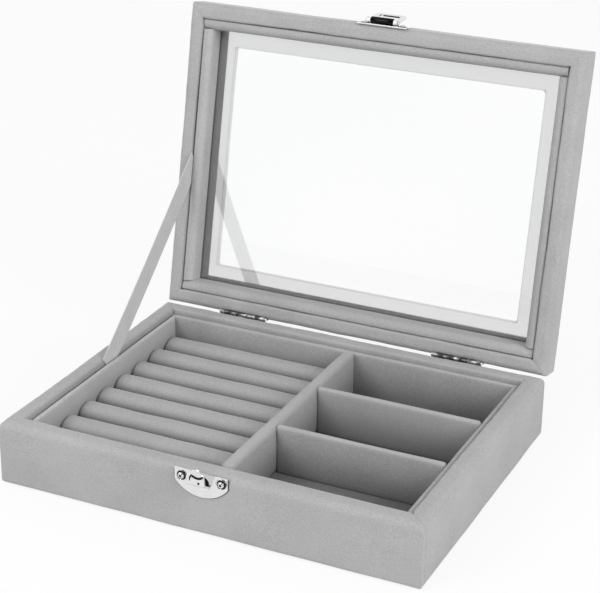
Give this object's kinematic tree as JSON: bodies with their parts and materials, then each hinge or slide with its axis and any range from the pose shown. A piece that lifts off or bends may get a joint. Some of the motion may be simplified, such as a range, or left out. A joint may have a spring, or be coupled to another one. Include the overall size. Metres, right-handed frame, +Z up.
{
  "type": "ring display box",
  "caption": "Velvet-covered jewellery box with a hinged glass lid, a bed of padded ring rolls, divided compartments and a hook and hasp closure.",
  "frame": {"origin": "centre of the underside of the base", "axes": "+X to the right seen from the catch side, +Y from the catch towards the hinges, +Z up"},
  "size_m": [0.2, 0.2016, 0.1809],
  "materials": {
    "mdf": "raw fibreboard",
    "velvet": "short-pile grey velvet over thin padding",
    "velvet_lining": "short-pile grey velvet over card",
    "velvet_roll": "short-pile grey velvet over foam",
    "under_sheet": "flat grey felt sheet",
    "window_glass": "clear polished sheet glass",
    "ribbon": "woven grey satin ribbon",
    "steel": "bright nickel-plated steel wire",
    "nickel": "bright nickel-plated stamped steel"
  },
  "bodies": {
    "base": {"base_front_board": "mdf", "base_back_board": "mdf", "base_left_board": "mdf", "base_right_board": "mdf", "base_bottom_board": "mdf", "base_velvet_cover": "velvet", "base_under_sheet": "under_sheet", "base_floor_lining": "velvet_lining", "base_liner_front": "velvet_lining", "base_liner_back": "velvet_lining", "base_liner_left": "velvet_lining", "base_liner_right": "velvet_lining", "center_divider": "velvet_lining", "cross_divider_1": "velvet_lining", "cross_divider_2": "velvet_lining", "ring_roll_1": "velvet_roll", "ring_roll_2": "velvet_roll", "ring_roll_3": "velvet_roll", "ring_roll_4": "velvet_roll", "ring_roll_5": "velvet_roll", "ring_roll_6": "velvet_roll", "ring_roll_7": "velvet_roll", "ring_roll_8": "velvet_roll", "hinge_left_base_leaf": "nickel", "hinge_right_base_leaf": "nickel", "hinge_left_pin": "steel", "hinge_right_pin": "steel", "hinge_base_nails": "steel", "catch_plate": "nickel", "catch_hook": "nickel", "catch_nails": "steel", "ribbon_stay": "ribbon"},
    "lid": {"lid_front_board": "mdf", "lid_back_board": "mdf", "lid_left_board": "mdf", "lid_right_board": "mdf", "lid_window_board": "mdf", "lid_velvet_cover": "velvet", "glass_pane": "window_glass", "lid_liner_front": "velvet_lining", "lid_liner_back": "velvet_lining", "lid_liner_left": "velvet_lining", "lid_liner_right": "velvet_lining", "hinge_left_lid_leaf": "nickel", "hinge_right_lid_leaf": "nickel", "hinge_lid_nails": "steel", "hasp_plate": "nickel", "hasp_nails": "steel", "hasp_pin": "steel"},
    "hasp": {"hasp_flap": "nickel"}
  },
  "joints": [
    {"name": "lid_hinge", "type": "hinge", "parent": "base", "child": "lid", "pos_m": [0, 0.0745, 0.03065], "axis": [1, 0, 0], "range_deg": [0, 101.6], "deforming": ["ribbon_stay"]},
    {"name": "hasp_pivot", "type": "hinge", "parent": "lid", "child": "hasp", "pos_m": [0.0008, 0.10635, 0.17908], "axis": [1, 0, 0], "range_deg": [0, 165]}
  ]
}
